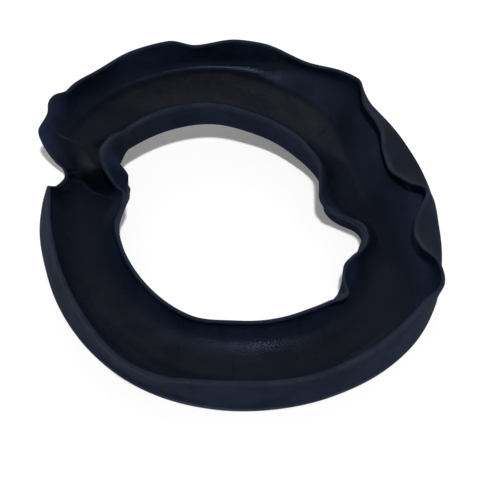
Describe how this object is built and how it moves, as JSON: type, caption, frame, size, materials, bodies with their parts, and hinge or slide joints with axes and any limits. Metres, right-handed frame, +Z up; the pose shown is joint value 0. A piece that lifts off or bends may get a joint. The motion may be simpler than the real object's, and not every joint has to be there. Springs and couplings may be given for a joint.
{
  "type": "coil spring insulator",
  "caption": "Rubber coil spring insulator: a one-turn channel ring with thin buckled lips, a floor that climbs to a step, and a round centre hole",
  "frame": {"origin": "centre of the part's outline, on the surface that it rests on", "axes": "+Z up, out of the open side of the channel; +X to the right in the picture; +Y away from the viewer, toward the raised side"},
  "size_m": [0.1544, 0.15, 0.0307],
  "materials": {
    "rubber": "satin moulded black rubber, faintly blue where it catches the light"
  },
  "bodies": {
    "root": {"spring_insulator": "rubber"}
  },
  "joints": []
}
